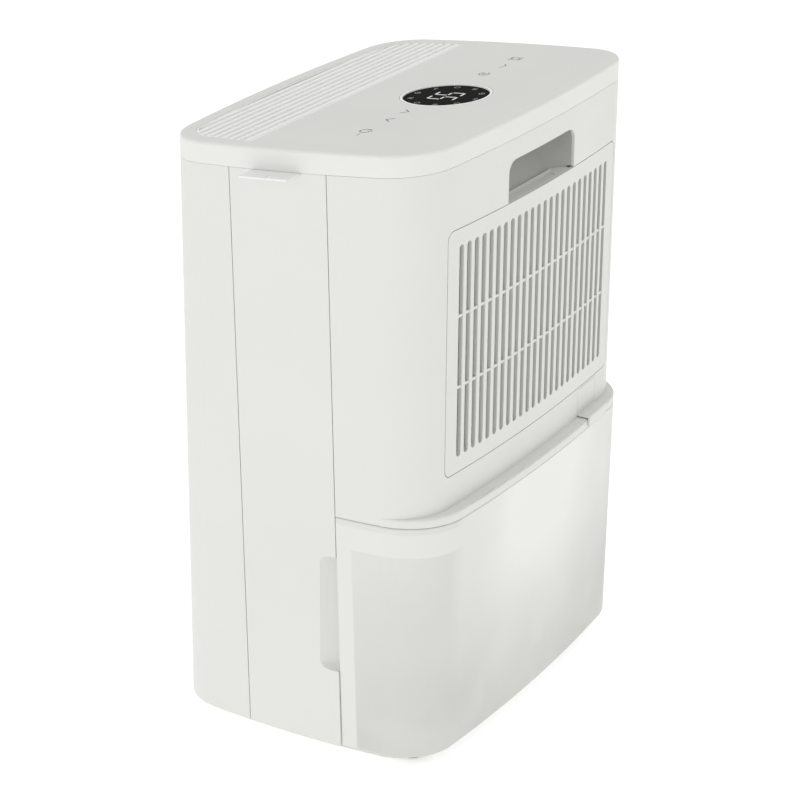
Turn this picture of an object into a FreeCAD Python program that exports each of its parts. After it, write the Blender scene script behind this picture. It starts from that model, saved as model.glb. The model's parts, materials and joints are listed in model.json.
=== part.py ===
"""Upright compressor dehumidifier: casing, airway, cooling circuit, fan and slide-out water tank.

Frame: millimetres, +Z up, floor at Z = 0, origin on the floor under the middle of the casing.
-Y is the plain front with the air outlet above it, +Y the back with the air filter, handle and tank.
Every driving dimension is a cell of the sheet Sizes, and the pieces are bound to those cells.
"""

import FreeCAD, Part
import math
import os

import Sketcher
from FreeCAD import Placement, Rotation, Vector

SIZES = {
    # casing
    "length": 350.0,
    "depth": 240.0,
    "height": 500.0,
    "top_rake": 22.0,
    "cover_band": 17.0,
    "floor_gap": 10.5,
    "corner_radius": 43.0,
    "side_radius": 725.0,
    "back_radius": 1536.0,
    "skin": 2.5,
    "seam": 0.6,
    "cover_seam": 0.12,
    "edge_round": 2.5,
    "front_seam": -49.5,
    "rear_seam": 34.5,
    "seam_lean": 12.0,
    # ledge and tank
    "ledge_height": 214.5,
    "lip_height": 7.0,
    "lip_overhang": 9.7,
    "lip_round": 1.5,
    "lip_corner": 50.0,
    "tank_clearance": 0.6,
    "tank_wall": 2.2,
    "tank_taper": 3.5,
    "rim_round": 1.2,
    "bay_wall_face": 40.0,
    # air filter
    "filter_width": 271.0,
    "filter_bottom": 240.0,
    "filter_top": 434.0,
    "filter_corner": 7.0,
    "filter_skin": 3.2,
    "mesh_thickness": 1.2,
    "slot_width": 5.6,
    "slot_pitch": 10.24,
    "slot_margin": 13.0,
    "rib_height": 2.2,
    "lower_rib": 309.0,
    "upper_rib": 365.5,
    # handle recess
    "handle_width": 107.0,
    "handle_top": 466.5,
    "handle_depth": 34.0,
    "handle_floor": 13.0,
    "handle_corner": 10.0,
    "cup_corner": 16.0,
    "flange_corner": 11.0,
    "flange_depth": 14.0,
    "flange_thickness": 2.0,
    # hose port
    "port_cover_left": -113.0,
    "port_cover_right": -78.0,
    "port_cover_top": 238.0,
    "spigot_bore": 5.0,
    "spigot_height": 226.0,
    "port_pad": 1.6,
    # top
    "outlet_inner": 82.0,
    "outlet_margin": 12.5,
    "outlet_corner": 30.0,
    "slat_pitch": 7.2,
    "slat_width": 3.6,
    "slat_depth": 8.0,
    "slat_lean": 5.8,
    "display_radius": 35.7,
    "display_rear": 35.0,
    # scoops and tag
    "scoop_bottom": 76.0,
    "scoop_top": 173.0,
    "scoop_reach": 17.0,
    "scoop_radius": 21.0,
    "scoop_depth": 10.0,
    "scoop_round": 7.0,
    "tag_width": 41.0,
    "tag_reach": 17.5,
    "tag_thickness": 1.8,
    # airway and cooling circuit
    "coil_width": 250.0,
    "coil_bottom": 240.0,
    "coil_top": 424.0,
    "tube_radius": 4.0,
    "fan_height": 345.0,
    "fan_radius": 84.0,
    "scroll_radius": 104.0,
    "shaft_radius": 4.0,
    "compressor_radius": 56.0,
    "compressor_x": 72.0,
    "compressor_inset": 72.0,
    "compressor_top": 188.0,
    "end_reach": 10.0,
}

SLOTS = 24
SLATS = 9
FIN_COUNT = 36
COIL_ROWS = 6
BLADES = 40
FAR = 400.0
UP = Vector(0, 0, 1)
GAP = 0.3

doc = FreeCAD.newDocument("Dehumidifier")
sheet = doc.addObject("Spreadsheet::Sheet", "Sizes")
for row, (alias, number) in enumerate(SIZES.items(), 1):
    sheet.set(f"A{row}", alias)
    sheet.set(f"B{row}", str(number))
    sheet.setAlias(f"B{row}", alias)
doc.recompute()


class Size:
    """A number together with the expression over the sheet that gives it."""

    def __init__(self, value, text=None):
        self.value = float(value)
        self.text = text or repr(float(value))

    def __add__(self, other):
        other = as_size(other)
        return Size(self.value + other.value, f"({self.text} + {other.text})")

    def __sub__(self, other):
        other = as_size(other)
        return Size(self.value - other.value, f"({self.text} - {other.text})")

    def __mul__(self, other):
        other = as_size(other)
        return Size(self.value * other.value, f"({self.text} * {other.text})")

    def __truediv__(self, other):
        other = as_size(other)
        return Size(self.value / other.value, f"({self.text} / {other.text})")

    def __neg__(self):
        return Size(-self.value, f"(0 - {self.text})")

    def __radd__(self, other):
        return as_size(other) + self

    def __rsub__(self, other):
        return as_size(other) - self

    def __rmul__(self, other):
        return as_size(other) * self


def as_size(value):
    return value if isinstance(value, Size) else Size(value)


class Sizes:
    """Each cell of the sheet as a Size, by its alias."""

    def __getattr__(self, alias):
        return Size(SIZES[alias], f"Sizes.{alias}")


size = Sizes()
parts = []

# ---------------------------------------------------------------- helpers


def bind(thing, prop, value):
    """Sets a property to a Size and keeps it bound to the sheet."""
    thing.setExpression(prop, as_size(value).text)


def node(thing, label):
    """Marks an object as a finished piece, written to parts/label.step."""
    thing.Label = label
    parts.append(thing)
    return thing


def box(name, x, y, z):
    """A block between the two limits given for each axis."""
    block = doc.addObject("Part::Box", name)
    for prop, axis, (low, high) in zip(("Length", "Width", "Height"), "xyz", (x, y, z)):
        bind(block, prop, as_size(high) - low)
        bind(block, f"Placement.Base.{axis}", low)
    return block


AXES = {
    "x": (Rotation(Vector(0, 1, 0), 90), "yz"),
    "y": (Rotation(Vector(1, 0, 0), -90), "xz"),
    "z": (Rotation(), "xy"),
}


def cylinder(name, axis, radius, centre, low, high):
    """A round bar along an axis, centre given on the other two axes in order."""
    rotation, others = AXES[axis]
    bar = doc.addObject("Part::Cylinder", name)
    bar.Placement = Placement(Vector(), rotation)
    bind(bar, "Radius", radius)
    bind(bar, "Height", as_size(high) - low)
    bind(bar, f"Placement.Base.{axis}", low)
    for other, place in zip(others, centre):
        bind(bar, f"Placement.Base.{other}", place)
    return bar


def group(name, pieces):
    if len(pieces) == 1:
        return pieces[0]
    joined = doc.addObject("Part::MultiFuse", name)
    joined.Shapes = pieces
    return joined


def fuse(name, *pieces):
    return group(name, list(pieces))


def cut(name, base, *tools):
    result = doc.addObject("Part::Cut", name)
    result.Base = base
    result.Tool = group(f"{name}_cutters", list(tools))
    return result


def common(name, base, tool):
    result = doc.addObject("Part::Common", name)
    result.Base = base
    result.Tool = tool
    return result


def separate(name, pieces):
    """Pieces that never touch, kept as a group of separate solids."""
    result = doc.addObject("Part::Compound", name)
    result.Links = pieces
    return result


def fixed_shape(name, shape):
    """A piece whose shape comes from Part's own functions, with its sizes read from the sheet."""
    result = doc.addObject("Part::Feature", name)
    result.Shape = shape
    return result


def mirrored(name, source):
    result = doc.addObject("Part::Mirroring", name)
    result.Source = source
    result.Base = Vector(0, 0, 0)
    result.Normal = Vector(1, 0, 0)
    return result


def rounded(name, base, radius, chosen):
    """Rounds the edges of base for which chosen(edge) is true."""
    doc.recompute()
    result = doc.addObject("Part::Fillet", name)
    result.Base = base
    amount = as_size(radius).value
    edges = enumerate(base.Shape.Edges, 1)
    result.Edges = [(index, amount, amount) for index, edge in edges if chosen(edge)]
    return result


def round_edge(edge):
    return edge.Curve.TypeId == "Part::GeomCircle"


def along(axis):
    """Tells whether an edge is a straight line along an axis."""
    direction = {"x": Vector(1, 0, 0), "y": Vector(0, 1, 0), "z": UP}[axis]

    def test(edge):
        if edge.Curve.TypeId != "Part::GeomLine":
            return False
        return abs(edge.tangentAt(edge.FirstParameter).dot(direction)) > 0.999

    return test


PLANES = {
    "yz": (Rotation(Vector(1, 1, 1), 120), "x", Vector(1, 0, 0)),
    "xz": (Rotation(Vector(1, 0, 0), 90), "y", Vector(0, 1, 0)),
    "xy": (Rotation(), "z", UP),
}


def extrude(name, sketch, direction, length):
    result = doc.addObject("Part::Extrusion", name)
    result.Base = sketch
    result.DirMode = "Custom"
    result.Dir = direction
    result.Solid = True
    bind(result, "LengthFwd", length)
    return result


def prism(name, plane, points, low, high):
    """A straight-sided profile on a plane, carried from low to high along the third axis."""
    rotation, axis, direction = PLANES[plane]
    sketch = doc.addObject("Sketcher::SketchObject", f"{name}_profile")
    sketch.Placement = Placement(Vector(), rotation)
    bind(sketch, f"Placement.Base.{axis}", low)
    places = [(as_size(u), as_size(v)) for u, v in points]
    corners = [Vector(u.value, v.value, 0) for u, v in places]
    count = len(corners)
    for index in range(count):
        sketch.addGeometry(Part.LineSegment(corners[index], corners[(index + 1) % count]))
    for index in range(count):
        joint = Sketcher.Constraint("Coincident", index, 2, (index + 1) % count, 1)
        sketch.addConstraint(joint)
    for index, pair in enumerate(places):
        for kind, place in zip(("DistanceX", "DistanceY"), pair):
            number = sketch.addConstraint(Sketcher.Constraint(kind, -1, 1, index, 1, place.value))
            sketch.setExpression(f"Constraints[{number}]", place.text)
    return extrude(name, sketch, direction, as_size(high) - low)


def arc(centre, radius, first, last):
    return Part.ArcOfCircle(Part.Circle(centre, UP, radius), first, last)


def outline(name, half_length, half_depth, corner, inset, height):
    """The casing's plan: four shallow arcs joined by four tangent corner arcs, moved in by inset."""
    side_radius = size.side_radius - inset
    back_radius = size.back_radius - inset
    round_radius = corner - inset
    side_centre = half_length - size.side_radius
    back_centre = half_depth - size.back_radius
    to_side = side_radius.value - round_radius.value
    to_back = back_radius.value - round_radius.value
    base = math.hypot(side_centre.value, back_centre.value)
    turn = math.acos((to_side**2 + base**2 - to_back**2) / (2 * to_side * base))
    heading = math.atan2(back_centre.value, -side_centre.value) + turn
    corner_x = side_centre.value + to_side * math.cos(heading)
    corner_y = to_side * math.sin(heading)
    lean = math.atan2(corner_x, corner_y - back_centre.value)
    quarter = math.pi / 2
    side_x = side_centre.value
    back_y = back_centre.value
    curves = []
    for step in range(4):
        facing = step * quarter
        if step % 2 == 0:
            middle = Vector(side_x if step == 0 else -side_x, 0, 0)
            curves.append(arc(middle, side_radius.value, facing - heading, facing + heading))
            ends = (facing + heading, facing + quarter - lean)
        else:
            middle = Vector(0, back_y if step == 1 else -back_y, 0)
            curves.append(arc(middle, back_radius.value, facing - lean, facing + lean))
            ends = (facing + lean, facing + quarter - heading)
        right = 1 if step in (0, 3) else -1
        above = 1 if step in (0, 1) else -1
        place = Vector(right * corner_x, above * corner_y, 0)
        curves.append(arc(place, round_radius.value, *ends))
    sketch = doc.addObject("Sketcher::SketchObject", name)
    bind(sketch, "Placement.Base.z", height)
    for curve in curves:
        sketch.addGeometry(curve)
    for index in range(8):
        follower = (index + 1) % 8
        sketch.addConstraint(Sketcher.Constraint("Tangent", index, 2, follower, 1))
    radii = (side_radius, round_radius, back_radius, round_radius) * 2
    for index, radius in enumerate(radii):
        number = sketch.addConstraint(Sketcher.Constraint("Radius", index, radius.value))
        sketch.setExpression(f"Constraints[{number}]", radius.text)
    centres = ((0, -1, "DistanceX", side_centre), (4, -1, "DistanceX", -side_centre))
    centres += ((2, -2, "DistanceY", back_centre), (6, -2, "DistanceY", -back_centre))
    for index, axis, kind, place in centres:
        sketch.addConstraint(Sketcher.Constraint("PointOnObject", index, 3, axis))
        number = sketch.addConstraint(Sketcher.Constraint(kind, -1, 1, index, 3, place.value))
        sketch.setExpression(f"Constraints[{number}]", place.text)
    return sketch


def outline_block(name, inset, low, high, grow=0.0, corner=None):
    """A block of the casing's plan; grow pushes the back and front outwards."""
    plan = outline(
        f"{name}_plan", half_length, half_depth + grow, corner or size.corner_radius, inset, low
    )
    return extrude(name, plan, UP, as_size(high) - low)


def pipe(name, points, radius):
    """A round tube of straight runs joined by tangent arcs."""
    path = [Vector(*point) for point in points]
    edges = []
    start = path[0]
    for before, here, after in zip(path, path[1:], path[2:]):
        into = (here - before).normalize()
        out = (after - here).normalize()
        shorter = min(here.distanceToPoint(before), after.distanceToPoint(here))
        reach = 0.42 * shorter
        first = here - into * reach
        last = here + out * reach
        turn = math.acos(max(-1.0, min(1.0, into.dot(out))))
        bend = reach / math.tan(turn / 2)
        inward = (out - into).normalize()
        middle = here + inward * (bend / math.cos(turn / 2) - bend)
        edges.append(Part.LineSegment(start, first).toShape())
        edges.append(Part.Arc(first, middle, last).toShape())
        start = last
    edges.append(Part.LineSegment(start, path[-1]).toShape())
    wire = Part.Wire(edges)
    heading = (path[1] - path[0]).normalize()
    ring = Part.Wire([Part.Circle(path[0], heading, radius).toShape()])
    return fixed_shape(name, wire.makePipeShell([ring], True, False))


# ---------------------------------------------------------------- shared places

half_length = size.length / 2
half_depth = size.depth / 2
half_seam = size.seam / 2
half_cover = size.cover_seam / 2
outlet_rear = size.outlet_inner - half_depth
cold_coil = half_depth - 28
warm_coil = half_depth - 67
tray_back = half_depth - 16
drain_y = half_depth - 37
float_pivot = half_depth - 16.5
compressor_y = size.compressor_inset - half_depth
screw_x = half_length - 25
screw_places = ((-screw_x, 50 - half_depth), (screw_x, 50 - half_depth), (-screw_x, 20), (screw_x, 20))
drier_y = warm_coil - 45
control_front = 50 - half_depth
control_back = warm_coil - 29
rake = size.top_rake / size.depth


def top_at(y):
    """Height of the raked top above a place along Y."""
    return size.height + (as_size(y) - half_depth) * rake


def cover_seam_at(y):
    return top_at(y) - size.cover_band


seam_rise = cover_seam_at(size.rear_seam) - size.floor_gap


def rear_edge_at(z):
    """Y of the seam between the side column and what lies behind it."""
    return size.rear_seam + size.seam_lean * (cover_seam_at(size.rear_seam) - z) / seam_rise


tank_top = size.ledge_height - size.lip_height - size.tank_clearance
deck_low = size.ledge_height - 5.5
deck_high = size.ledge_height - 2.5
handle_low = size.filter_top - size.flange_thickness - 0.4


def slab(name, below_top, above_bottom):
    """The layer between two depths under the raked top."""
    return prism(
        name,
        "yz",
        [
            (-FAR, top_at(-FAR) - above_bottom),
            (FAR, top_at(FAR) - above_bottom),
            (FAR, top_at(FAR) - below_top),
            (-FAR, top_at(-FAR) - below_top),
        ],
        -FAR,
        FAR,
    )


def skin_ring(name):
    """The casing wall over its whole height, before it is divided."""
    outer = outline_block(f"{name}_outer", 0, size.floor_gap, size.height + 20)
    inner = outline_block(f"{name}_inner", size.skin, 0, size.height + 40)
    return cut(name, outer, inner)


# ---------------------------------------------------------------- casing


def front_shell():
    region = prism(
        "front_region",
        "yz",
        [
            (-FAR, size.floor_gap),
            (size.front_seam + size.seam_lean - half_seam, size.floor_gap),
            (size.front_seam - half_seam, cover_seam_at(size.front_seam) - half_cover),
            (-FAR, cover_seam_at(-FAR) - half_cover),
        ],
        -FAR,
        FAR,
    )
    node(common("front_casing", skin_ring("front_skin"), region), "front_shell")


def side_column(name, port=None):
    """The narrow side panel with the finger scoop that opens onto the tank's edge."""
    front_low = size.front_seam + size.seam_lean + half_seam
    rear_low = size.rear_seam + size.seam_lean - half_seam
    region = prism(
        f"{name}_region",
        "yz",
        [
            (front_low, size.floor_gap),
            (rear_low, size.floor_gap),
            (size.rear_seam - half_seam, cover_seam_at(size.rear_seam) - half_cover),
            (size.front_seam + half_seam, cover_seam_at(size.front_seam) - half_cover),
        ],
        0,
        FAR,
    )
    panel = common(f"{name}_panel", skin_ring(f"{name}_skin"), region)
    scoop_y = rear_edge_at(size.scoop_bottom)
    block = box(
        f"{name}_block",
        (half_length - size.scoop_reach, half_length + 10),
        (scoop_y - size.scoop_reach - 3, scoop_y + 10),
        (size.scoop_bottom - 3, size.scoop_top + 3),
    )
    inside = outline_block(f"{name}_inside", 0, size.floor_gap, size.height)
    boss = common(f"{name}_boss", common(f"{name}_trim", block, inside), region)
    bar = cylinder(
        f"{name}_scoop",
        "z",
        size.scoop_radius,
        (half_length + size.scoop_radius - size.scoop_depth, scoop_y + 1),
        size.scoop_bottom,
        size.scoop_top,
    )
    hollow = rounded(f"{name}_scoop_soft", bar, size.scoop_round, round_edge)
    return cut(f"{name}_hollowed", fuse(f"{name}_solid", panel, boss), hollow)


def side_columns():
    right = node(side_column("right_column"), "side_column_right")
    left = mirrored("left_column", right)
    gland = cylinder("gland_hole", "x", 7.0, (-5, 55), -half_length - 10, -half_length + 20)
    node(cut("left_column_ported", left, gland), "side_column_left")


def filter_block(name, margin, thickness, corner=None, proud=1.0):
    """A rounded block over the filter's place, grown all round by margin, thickness deep."""
    plate = box(
        f"{name}_plate",
        (-size.filter_width / 2 - margin, size.filter_width / 2 + margin),
        (half_depth - 30, half_depth + 30),
        (size.filter_bottom - margin, size.filter_top + margin),
    )
    soft = rounded(f"{name}_corners", plate, corner or size.filter_corner + margin, along("y"))
    if thickness is None:
        return soft
    outer = outline_block(f"{name}_outer", -proud, size.floor_gap, size.height)
    inner = outline_block(f"{name}_inner", thickness, size.floor_gap - 5, size.height + 5)
    return common(name, soft, cut(f"{name}_layer", outer, inner))


def lip_block(name, inset, low, high):
    """A block of the ledge's plan with its upper edge rounded."""
    block = outline_block(f"{name}_plain", inset, low, high, size.lip_overhang, size.lip_corner)
    top = as_size(high).value - 0.1
    return rounded(name, block, size.lip_round, lambda edge: edge.BoundBox.ZMin > top)


def rear_housing():
    """The back wall above the tank, with the filter's recess, handle opening and ledge."""
    region = prism(
        "rear_region",
        "yz",
        [
            (rear_edge_at(tank_top) + half_seam, tank_top + size.tank_clearance),
            (FAR, tank_top + size.tank_clearance),
            (FAR, cover_seam_at(FAR) - half_cover),
            (size.rear_seam + half_seam, cover_seam_at(size.rear_seam) - half_cover),
        ],
        -FAR,
        FAR,
    )
    wall = common("rear_wall", skin_ring("rear_skin"), region)
    ledge_low = tank_top + size.tank_clearance
    lip = lip_block("lip", 0, ledge_low, size.ledge_height)
    lip_room = outline_block(
        "lip_room", size.skin, ledge_low - 5, deck_high, size.lip_overhang, size.lip_corner
    )
    airway = outline_block("ledge_airway", 9.5, deck_low, size.ledge_height + 5)
    ledge = common("ledge", cut("ledge_hollowed", lip, lip_room, airway), region)
    seat = common("filter_seat_trimmed", filter_block("filter_seat", 4.5, 8.0, None, 0.0), region)
    cup_reach = size.handle_width / 2 + 2.6
    cup_place = box(
        "cup_place", (-cup_reach, cup_reach), (half_depth - 30, half_depth + 30), (handle_low - 2.4, FAR * 2)
    )
    land = cut("filter_land", seat, cup_place)
    recess = filter_block("filter_recess", half_seam, size.filter_skin + size.mesh_thickness + GAP)
    opening = filter_block("filter_window", -8.0, None, 4.0)
    handle = handle_opening("handle_cut", half_depth - 30, half_depth + 30)
    port = box(
        "port_opening",
        (size.port_cover_left - half_seam, size.port_cover_right + half_seam),
        (half_depth - 30, half_depth + 30),
        (size.ledge_height, size.port_cover_top + half_seam),
    )
    solid = fuse("rear_solid", wall, ledge, land)
    shell = cut("rear_shell", solid, recess, opening, handle, port)
    node(shell, "rear_housing")


def handle_opening(name, near, far):
    """The opening that the fingers go through, its lower edge at the filter's top."""
    gap = box(
        f"{name}_box",
        (-size.handle_width / 2, size.handle_width / 2),
        (near, far),
        (handle_low, size.handle_top),
    )
    top = as_size(size.handle_top).value - 1

    def upper(edge):
        return along("y")(edge) and edge.CenterOfMass.z > top

    return rounded(name, gap, size.handle_corner, upper)


def cup_profile(name, grow, half_width):
    """The handle cup's section: a shallow floor, then a back that leans inwards."""
    floor = handle_low - grow
    face = half_depth - 2
    back = face - size.handle_floor - grow
    deep = face - size.handle_depth - grow
    top = size.handle_top + grow
    points = [(face + 20, floor), (back, floor), (deep, top - 12), (deep + 4, top)]
    points.append((face + 20, top))
    return prism(name, "yz", points, -half_width, half_width)


def handle_cup():
    """The cup that closes the handle opening from inside."""
    half_width = size.handle_width / 2 + 0.2
    shell = cup_profile("cup_outer", 2.0, half_width + 2)
    inner = cup_profile("cup_inner", 0.2, half_width)
    hollow = rounded("cup_hollow", inner, size.cup_corner, cup_bend)
    wall = outline_block("cup_wall_room", size.skin + 0.2, size.floor_gap, size.height)
    seat = filter_block("cup_seat_room", 0.8, size.filter_skin + size.mesh_thickness + 0.8)
    shell = common("cup_trimmed", shell, wall)
    node(cut("cup_shell", shell, hollow, seat), "handle_cup")


def cup_bend(edge):
    """The two leaning corners between the cup's back and its ends."""
    box_of = edge.BoundBox
    inner = box_of.YMax < half_depth.value - 5
    return inner and box_of.XLength < 0.01 and box_of.ZLength > 8


def top_cover():
    """The raked lid with its band, the outlet opening and the seat of the round display."""
    outer = outline_block("cover_outer", 0, size.height / 2, size.height + 20)
    body = common("cover_body", outer, slab("cover_slab", 0, size.cover_band - half_cover))
    eased = rounded("cover_eased", body, size.edge_round, cover_rim)
    core = outline_block("cover_core", size.skin, size.height / 2, size.height + 20)
    room = common("cover_room", core, slab("cover_room_slab", size.skin, size.cover_band + 9))
    outlet = outlet_block("cover_outlet", 0, -5, size.cover_band)
    display = disc("cover_display", size.display_radius + GAP, -5, size.cover_band)
    node(cut("cover_shell", eased, room, outlet, display), "top_cover")


def cover_rim(edge):
    """Edges of the cover block that lie in its raked top."""
    middle = edge.CenterOfMass
    start = edge.Vertexes[0].Point
    return abs(middle.z - top_at(middle.y).value) < 0.5 and abs(start.z - top_at(start.y).value) < 0.1


def outlet_block(name, inset, above, below):
    """The air outlet's plan, cut square along the control side, between two depths."""
    plan = outline(
        f"{name}_plan",
        half_length - size.outlet_margin,
        half_depth - size.outlet_margin,
        size.outlet_corner,
        as_size(inset),
        size.height / 2,
    )
    block = extrude(f"{name}_block", plan, UP, size.height)
    front = box(
        f"{name}_front", (-FAR, FAR), (-FAR, outlet_rear - inset), (0, size.height * 2)
    )
    return common(name, common(f"{name}_area", block, front), slab(f"{name}_slab", above, below))


def disc(name, radius, above, below):
    bar = cylinder(f"{name}_bar", "z", radius, (0, size.display_rear), 100, size.height + 60)
    return common(name, bar, slab(f"{name}_slab", above, below))


def outlet_grille():
    """The lengthwise slats over the air outlet, on a rim and cross ribs."""
    area = outlet_block("grille_area", 0.05, 0.3, size.slat_depth + 5)
    inner = outlet_block("grille_inner", 1.8, -5, size.cover_band)
    rim = cut("grille_rim", area, inner)
    low = size.outlet_margin - half_depth + 4.2
    slats = []
    for index in range(SLATS):
        y = low + index * size.slat_pitch
        base = y + size.slat_lean
        points = [
            (base, top_at(base) - size.slat_depth),
            (base + 1.6, top_at(base) - size.slat_depth),
            (y + size.slat_width, top_at(y + size.slat_width) - 0.4),
            (y, top_at(y) - 0.4),
        ]
        slats.append(prism(f"slat_{index + 1}", "yz", points, -half_length, half_length))
    layer = slab("rib_layer", 5.0, size.slat_depth + 4)
    ribs = []
    for index in range(5):
        x = (index - 2) * 58.0
        bar = box(f"rib_bar_{index + 1}", (x - 1, x + 1), (-FAR, FAR), (0, size.height * 2))
        ribs.append(common(f"rib_{index + 1}", bar, layer))
    web = common("grille_web", group("grille_bars", slats + ribs), area)
    node(fuse("grille", rim, web), "outlet_grille")


def display():
    """The dark round window, its ring and the boards under the cover."""
    ring = disc("bezel_disc", size.display_radius, 0, 6)
    opening = disc("bezel_opening", size.display_radius - 2.2, -5, 10)
    node(cut("bezel", ring, opening), "display_bezel")
    node(disc("window", size.display_radius - 2.2 - GAP / 2, 1.0, 4.0), "display_window")
    led = disc("led", size.display_radius - 4, 4.2, 5.8)
    node(led, "display_led_module")
    band = slab("board_layer", 6.2, 7.8)
    plate = box("board_plate", (-128, 128), (4, 66), (0, size.height * 2))
    node(common("board", plate, band), "touch_control_board")
    layer = slab("pillar_layer", size.skin + GAP, 6.0)
    pads = []
    for x in (-118, -96, -68, 54, 79, 114):
        pillar = cylinder(f"touch_pad_{x}", "z", 4.5, (x, 31), 0, size.height * 2)
        pads.append(common(f"touch_spring_{x}", pillar, layer))
    node(separate("pads", pads), "touch_contact_pads")
    bosses = []
    for x in (-122, 122):
        boss = cylinder(f"board_boss_{x}", "z", 3.0, (x, 58), 0, size.height * 2)
        bosses.append(common(f"board_post_{x}", boss, layer))
    node(separate("posts", bosses), "board_spacers")


def side_tag():
    """The small plain tab at the cover seam of the right-hand column, raked as the seam is."""
    middle = (size.front_seam + size.rear_seam) / 2
    front = middle - size.tag_width / 2
    back = middle + size.tag_width / 2
    profile = (
        (front, cover_seam_at(front) - size.tag_thickness),
        (back, cover_seam_at(back) - size.tag_thickness),
        (back, cover_seam_at(back)),
        (front, cover_seam_at(front)),
    )
    plate = prism("tag_plate", "yz", profile, half_length - 0.9, half_length + size.tag_reach)
    eased = rounded("tag_eased", plate, 0.6, tag_side)
    casing = outline_block("tag_casing", -0.05, size.floor_gap, size.height)
    node(cut("tag", eased, casing), "side_tag")


def tag_side(edge):
    return not along("x")(edge) and not along("z")(edge)


def base():
    """The flat base that carries the tank and, in front, the compressor."""
    plate = outline_block("base_plate", 9, 5.0, size.floor_gap - GAP)
    tray = outline_block("base_tray", size.skin + GAP, size.floor_gap - 0.6, 17.0)
    well = outline_block("base_well", size.skin + 2.5, size.floor_gap - GAP, 30.0)
    front = box("base_front", (-FAR, FAR), (-FAR, size.bay_wall_face - 2.5 - GAP), (0, 60))
    rim = common("base_rim", cut("base_upstand", tray, well), front)
    holes = [
        cylinder(f"base_hole_{index}", "z", 2.0, place, 0, 30)
        for index, place in enumerate(screw_places)
    ]
    node(cut("base", fuse("base_solid", plate, rim), *holes), "base_pan")
    feet = []
    for index, (side, end) in enumerate(((-1, -1), (-1, 1), (1, -1), (1, 1))):
        place = ((half_length - 40) * side, (half_depth - 32) * end)
        pad = cylinder(f"foot_{index}", "z", 12, place, 0, 5.0)
        feet.append(rounded(f"foot_round_{index}", pad, 1.2, lambda edge: edge.CenterOfMass.z < 1))
    node(separate("feet", feet), "rubber_feet")


def bay_and_deck():
    """The upright wall in front of the tank and the deck above it."""
    low = size.floor_gap - GAP
    wall = box(
        "bay_sheet",
        (-half_length, half_length),
        (size.bay_wall_face - 2.5, size.bay_wall_face),
        (low, deck_low),
    )
    inside = outline_block("bay_inside", size.skin + GAP, 0, size.height)
    trimmed = common("bay_trimmed", wall, inside)
    notches = []
    inner = half_length - size.scoop_reach - GAP
    for name, x in (("left", (-FAR, -inner)), ("right", (inner, FAR))):
        height = (size.scoop_bottom - 3 - GAP, size.scoop_top + 3 + GAP)
        notches.append(box(f"notch_{name}", x, (0, 80), height))
    plunger_hole = box("switch_window", (-8, 8), (0, 80), (176, 192))
    node(cut("bay_wall", trimmed, *notches, plunger_hole), "tank_bay_wall")
    plate = outline_block("deck_plate", size.skin + GAP, deck_low, deck_high)
    holes = []
    places = (("suction", 142, 15), ("discharge", 142, -40), ("wires", -100, 30 - half_depth))
    places += (("drain", 0, drain_y),)
    for name, x, y in places:
        holes.append(cylinder(f"deck_{name}_hole", "z", 11, (x, y), 0, size.height))
    node(cut("deck", plate, *holes), "mid_deck")


# ---------------------------------------------------------------- air filter and hose port


def filter_panel():
    """The pull-out filter: a curved slotted frame with a fine mesh behind it."""
    face = filter_block("filter_face", -half_seam, size.filter_skin)
    outer = outline_block("filter_outer", 0, size.floor_gap, size.height)
    face = common("filter_curved", face, outer)
    low = size.filter_bottom + size.slot_margin
    high = size.filter_top - size.slot_margin
    radius = size.slot_width / 2
    first = -(SLOTS - 1) / 2 * size.slot_pitch
    slots = []
    for index in range(SLOTS):
        x = first + index * size.slot_pitch
        middle = box(
            f"slot_{index + 1}_box",
            (x - radius, x + radius),
            (half_depth - 30, half_depth + 10),
            (low + radius, high - radius),
        )
        ends = [
            cylinder(
                f"slot_{index + 1}_{name}",
                "y",
                radius,
                (x, place),
                half_depth - 30,
                half_depth + 10,
            )
            for name, place in (("foot", low + radius), ("head", high - radius))
        ]
        slots.append(group(f"slot_{index + 1}", [middle] + ends))
    pierced = cut("filter_pierced", face, *slots)
    layer_outer = outline_block("bar_outer", 0.5, size.floor_gap, size.height)
    layer_inner = outline_block("bar_inner", size.filter_skin, size.floor_gap - 5, size.height + 5)
    layer = cut("bar_layer", layer_outer, layer_inner)
    bars = []
    for name, z in (("low", size.lower_rib), ("high", size.upper_rib)):
        bar = box(
            f"bar_{name}",
            (first - 5, -first + 5),
            (half_depth - 30, half_depth + 10),
            (z - size.rib_height / 2, z + size.rib_height / 2),
        )
        bars.append(common(f"rib_{name}", bar, layer))
    node(fuse("filter_grille", pierced, filter_flange(), *bars), "filter_frame")
    mesh_outer = outline_block("mesh_outer", size.filter_skin + 0.1, size.floor_gap, size.height)
    mesh_inner = outline_block("mesh_inner", size.filter_skin + size.mesh_thickness, 0, size.height + 5)
    sheet_of = cut("mesh_sheet", mesh_outer, mesh_inner)
    node(common("mesh", filter_block("mesh_area", -3.0, None, 4.0), sheet_of), "filter_mesh")


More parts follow.
